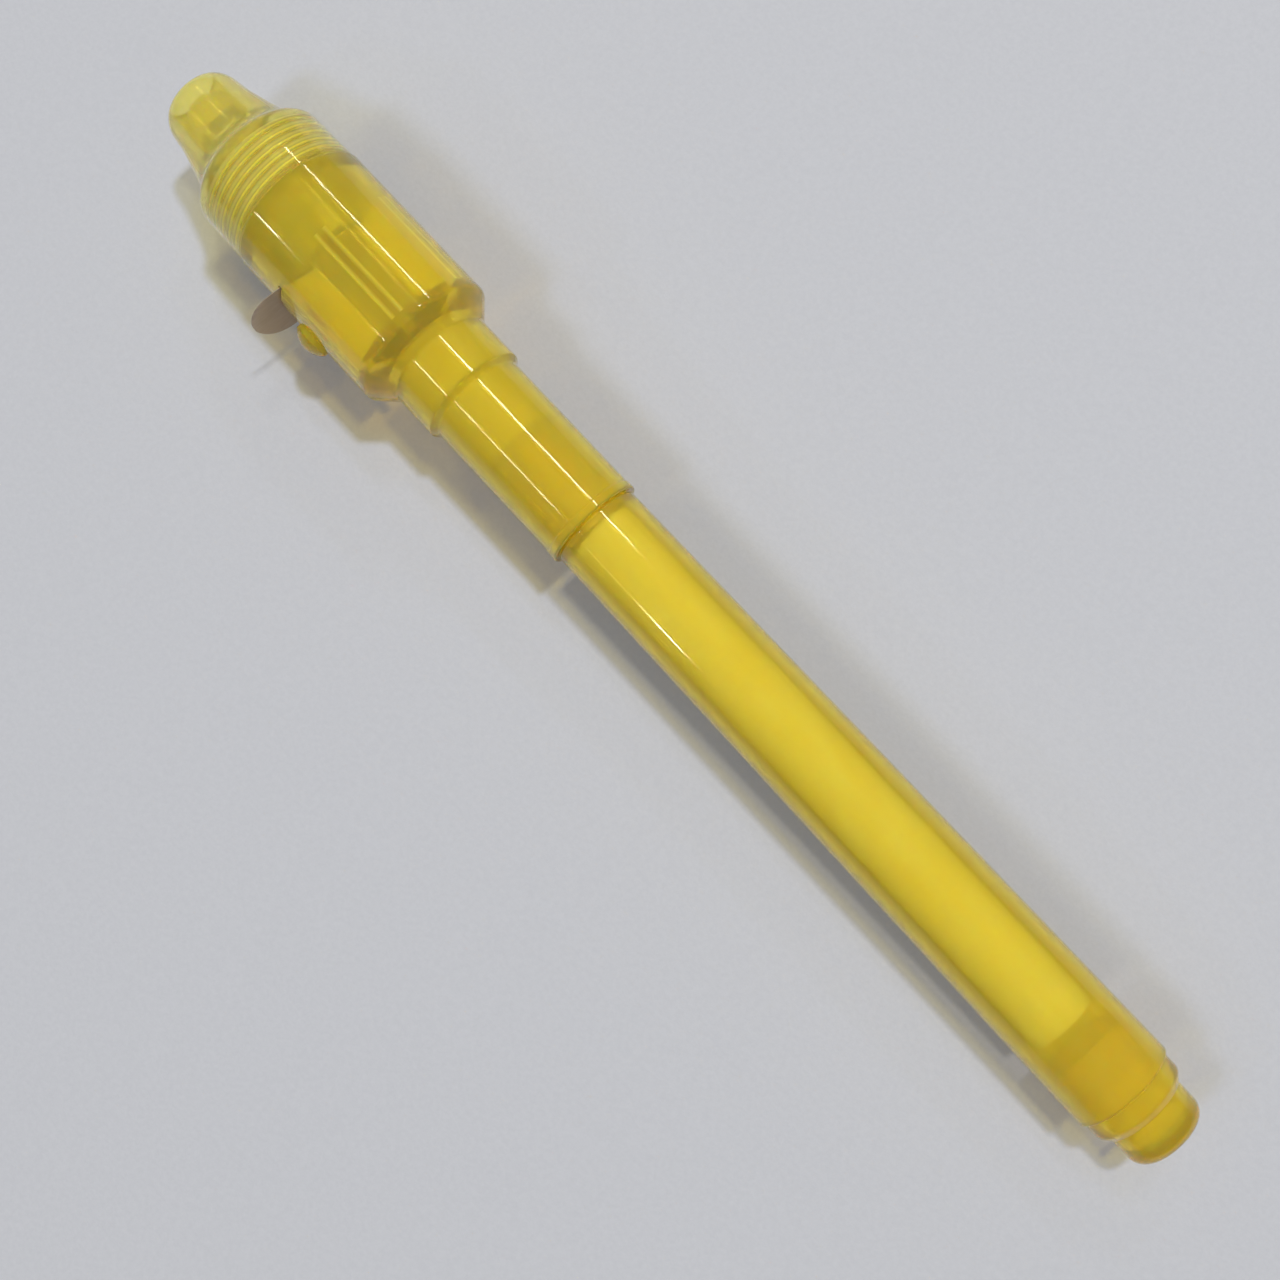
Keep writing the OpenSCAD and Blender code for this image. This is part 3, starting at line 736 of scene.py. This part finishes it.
def make_tab(material):
    """Pull tab cut from film: two prongs that straddle the blade, and a rounded end, a little curled."""
    inner_y, tip_y = tab_low.y / MM, tab_high.y / MM
    half_t = (tab_high.x - tab_low.x) / 2 / MM
    fork_y, fork_half = 5.3, 1.1
    wall_y = math.sqrt(body_r ** 2 - tab_half_w ** 2)
    rows = [inner_y + (fork_y - inner_y) * k / 8 for k in range(8)]
    rows += [fork_y + (body_r - fork_y) * k / 6 for k in range(6)]
    rows += [body_r + (tip_y - body_r) * math.sin(math.pi / 2 * k / 18) for k in range(19)]
    side = [fork_half / tab_half_w + (1 - fork_half / tab_half_w) * k / 8 for k in range(9)]
    across = [-u for u in reversed(side)] + [-0.09, 0.09] + side
    width = len(across)

    def place(row, column, face):
        y, u = rows[row], across[column]
        out = max(0.0, (y - body_r) / (tip_y - body_r))
        free = max(0.0, (y - wall_y) / (tip_y - wall_y))
        z = u * tab_half_w * math.sqrt(max(1 - out * out, 0.0004))
        thin = half_t * (1 - 0.5 * max(0, abs(u) - 0.9) / 0.1)
        curl = (0.05 * z + 0.5) * free
        return tab_x + curl + face * thin, y, z

    upper = []
    for row in range(len(rows) - 1):
        for column in range(width - 1):
            middle = abs(across[column] + across[column + 1]) / 2 * tab_half_w
            if rows[row] < fork_y - 0.01 and middle < fork_half:
                continue
            a = row * width + column
            upper.append((a, a + 1, a + width + 1, a + width))
    used = sorted({corner for face in upper for corner in face})
    number = {corner: k for k, corner in enumerate(used)}
    points = [place(c // width, c % width, face) for face in (1, -1) for c in used]
    layer = len(used)
    upper = [tuple(number[c] for c in face) for face in upper]
    sides = {(face[k], face[(k + 1) % 4]) for face in upper for k in range(4)}
    faces = upper + [tuple(layer + c for c in reversed(face)) for face in upper]
    faces += [(b, a, a + layer, b + layer) for a, b in sorted(sides) if (b, a) not in sides]
    made = piece("film_tab", points, faces, material)
    face_out(made)
    settle(made, "tab", "smoke_film", "pull_tab")


# ---------------------------------------------------------------- lamp and nose


def make_lens(resin):
    flange_front_x = lens_x + 0.98
    lens_r = 2.5
    dome_x = dome_tip_x - lens_r
    outline = [(lens_x, 0.0)]
    outline += eased([
        (lens_x, lens_flange_r, 0.12), (flange_front_x, lens_flange_r, 0.15),
        (flange_front_x, lens_r + 0.03, 0.1), (dome_x - 0.1, lens_r)])
    outline += arc(dome_x, lens_r, 90, 0, 20)[:-1]
    outline += [(dome_tip_x, 0.0)]
    made = turned("lamp_lens", outline, resin)
    flat = box_tool((lens_x - 1, -lens_flange_r - 1, -4), (flange_front_x + 0.005, -lens_r - 0.02, 4))
    combine(made, flat, "DIFFERENCE")
    polish(made)
    settle(made, "lamp", "lens_resin", "led_lens")


def make_bond_wire(gold):
    """Fine wire from the chip to the top of the long lead."""
    chip_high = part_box("led_chip")[1]
    post_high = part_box("led_long_lead")[1]
    start = Vector((chip_high.x, 0.1 * MM, 0))
    end = Vector((post_high.x - 0.1 * MM, 1.15 * MM, 0))
    line = bpy.data.curves.new("bond_wire", "CURVE")
    line.dimensions = "3D"
    line.bevel_depth = 0.035 * MM
    line.bevel_resolution = 3
    spline = line.splines.new("BEZIER")
    spline.bezier_points.add(1)
    rise = Vector((0.75 * MM, 0, 0))
    for point, at in zip(spline.bezier_points, (start, end)):
        point.co = at
        point.handle_left = at + rise
        point.handle_right = at + rise
    made = bpy.data.objects.new("bond_wire", line)
    bpy.context.scene.collection.objects.link(made)
    line.materials.append(gold)
    settle(made, "lamp", "lead_steel")


def make_nose(plastic):
    mouth_r = 2.65
    cone_r = 5.6
    spout_r = 4.2
    ledge_x = neck_end_x + 0.2
    groove_r = nose_thread_r + THREAD_DEPTH
    cone_end_x = ledge_x + 3
    shoulder = Vector((nose_x + 5.8, skirt_r - 0.11))
    waist = Vector((nose_x + 7.1, 6.3))
    throat = Vector((nose_x + 12.6, spout_r + 0.25))
    brow = Vector((mouth_x - 1.7, spout_r))
    rim = Vector((mouth_x, mouth_r + 0.35))
    outline = eased([(nose_x, groove_r, 0.1), (nose_x, skirt_r, 0.2), tuple(shoulder)])
    outline += curve(shoulder, shoulder + Vector((0.6, -0.05)), waist + Vector((-0.15, 0.45)), waist)
    outline += curve(waist, waist + Vector((0.9, -0.75)), throat + Vector((-1.9, 0.5)), throat)
    outline += [tuple(brow)]
    outline += curve(brow, brow + Vector((0.9, -0.15)), rim + Vector((0, 0.6)), rim)
    outline += eased([
        (mouth_x, mouth_r, 0.15), (cone_end_x, mouth_r, 0.1), (cone_end_x, mouth_r + 0.5, 0.2),
        (ledge_x, cone_r, 0.2), (ledge_x, nose_thread_r, 0.1)])
    outline += [(x, groove_r) for x in reversed(thread_stations())]

    def lift(x, r, angle):
        in_thread = abs(r - groove_r) < 0.01 and thread_x <= x <= thread_end_x
        return -NOSE_THREAD_SHARE * THREAD_DEPTH * ridge(x, angle) if in_thread else 0

    made = turned("nose_shell", outline, plastic, closed=True, lift=lift)
    settle(made, "nose", "nose_plastic", "lamp_nose")


# ---------------------------------------------------------------- stage


LAMPS_LOOK_AT = Vector((0.09, 0, 0))


def make_floor(material):
    """The pen lies on its tail and on the back edge of the lamp body, so the floor tips a little."""
    rest_a = Vector((barrel_x + 0.2, 0, -barrel_tail_r)) * MM
    rest_b = Vector((body_x + 0.1, 0, -body_r)) * MM
    slope = (rest_b - rest_a).normalized()
    half = 1.2
    across = Vector((0, half, 0))
    points = [rest_b + slope * half * i + across * j for i, j in ((-1, -1), (1, -1), (1, 1), (-1, 1))]
    mesh = bpy.data.meshes.new("floor")
    mesh.from_pydata(points, [], [(0, 1, 2, 3)])
    made = bpy.data.objects.new("floor", mesh)
    bpy.context.scene.collection.objects.link(made)
    mesh.materials.append(material)


def make_lamp(name, place, size, power, tint=(1, 1, 1), gloss=True):
    """A soft rectangular lamp that looks at the pen. place and size are in metres."""
    light = bpy.data.lights.new(name, "AREA")
    light.shape = "RECTANGLE"
    light.size, light.size_y = size
    light.energy = power
    light.color = tint
    made = bpy.data.objects.new(name, light)
    bpy.context.scene.collection.objects.link(made)
    made.location = place
    aim = LAMPS_LOOK_AT - Vector(place)
    right = Vector((1, 0, 0))
    up = aim.cross(right).normalized()
    right = up.cross(aim).normalized()
    turn = Matrix((right, up, -aim.normalized())).transposed().to_4x4()
    made.matrix_world = Matrix.Translation(place) @ turn
    made.visible_glossy = gloss
    made.visible_transmission = gloss


def make_lights():
    make_lamp("key", (0.06, -0.55, 1.2), (0.09, 0.09), 10.3, (1.0, 0.985, 0.96), gloss=False)
    make_lamp("fill", (0.16, 0.75, 1.1), (0.2, 0.2), 3.8, (0.97, 0.98, 1.0), gloss=False)
    make_lamp("window_far_right", (1.08, -1.44, 1.2), (0.5, 0.05), 2.0)
    make_lamp("window_right", (0.49, -0.72, 1.2), (0.28, 0.07), 1.7)
    make_lamp("window_left", (0.58, 0.98, 1.2), (0.28, 0.04), 0.8)
    make_lamp("window_far_left", (1.13, 1.5, 1.2), (0.05, 0.05), 0.4)
    make_lamp("window_back_left", (0.33, 1.62, 1.2), (0.07, 0.07), 1.2)
    world = bpy.data.worlds.new("studio")
    bpy.context.scene.world = world
    world.use_nodes = True
    background = world.node_tree.nodes["Background"]
    background.inputs["Color"].default_value = (0.93, 0.96, 1.0, 1)
    background.inputs["Strength"].default_value = 0.14


def make_camera():
    """Looks down on the pen from beyond its middle, with the pen's axis across the picture's diagonal."""
    camera = bpy.data.objects.new("camera", bpy.data.cameras.new("camera"))
    bpy.context.scene.collection.objects.link(camera)
    camera.data.sensor_width = 36
    camera.data.lens = 42.04
    camera.data.clip_start = 0.005
    camera.data.clip_end = 10
    look = Vector((0.1290, 0.0309, -0.9912)).normalized()
    up = Vector((0.7258, -0.6840, 0.0731))
    right = look.cross(up).normalized()
    up = right.cross(look).normalized()
    place = Vector((seam_x - 70.86, 0, 136.96)) * MM
    camera.matrix_world = Matrix.Translation(place) @ Matrix((right, up, -look)).transposed().to_4x4()
    bpy.context.scene.camera = camera


# ---------------------------------------------------------------- everything

amber = barrel_plastic()
yellow = cap_plastic()
steel = metal("cell_steel", (0.46, 0.45, 0.41), (0.36, 0.35, 0.31), 0.12, (1, 1, 1), 0.32)
tinned = metal("tinned_steel", (0.78, 0.78, 0.76), (0.62, 0.62, 0.6), 0.15, (8, 1, 1), 0.28)
brass = metal("contact_brass", (0.80, 0.62, 0.30), (0.58, 0.42, 0.2), 0.15, (8, 1, 1), 0.3)
milky = soft_plastic("milky_plastic", (0.93, 0.88, 0.6), (0.88, 0.82, 0.5), 0.6)
tube = soft_plastic("insulating_tube", (0.95, 0.93, 0.8), (0.9, 0.88, 0.72), 0.85)
seat = soft_plastic("seat_plastic", (0.86, 0.82, 0.6), (0.78, 0.74, 0.5), 0.3)
core = fibre("ink_fibre", (0.97, 0.97, 0.92), (0.90, 0.89, 0.78), 0.12)
nib = fibre("nib_fibre", (0.95, 0.94, 0.9), (0.85, 0.84, 0.78), 0.08)

make_barrel(amber)
make_plug(amber)
make_reservoir(core)
make_cap(yellow)
make_cells(steel, dark_nylon())
make_cell_sleeve(tube)
make_tab(smoke_film())
make_lens(lens_resin())
make_bond_wire(brass)
make_nose(nose_plastic())

NODE_FINISH = {
    "nib": nib, "reservoir_film": clear_film(), "inner_seal": milky,
    "rear_contact": brass, "bridge_contact": brass, "switch_blade": brass,
    "push_button": yellow, "led_seat": seat, "led_chip": chip_material(),
    "led_short_lead": tinned, "led_long_lead": tinned,
}
for node, finish in NODE_FINISH.items():
    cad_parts[node].data.materials[0] = finish

make_floor(paper())
make_lights()
make_camera()

scene = bpy.context.scene
scene.view_settings.view_transform = "Standard"
scene.cycles.max_bounces = 24
scene.cycles.transmission_bounces = 24
scene.cycles.transparent_max_bounces = 32
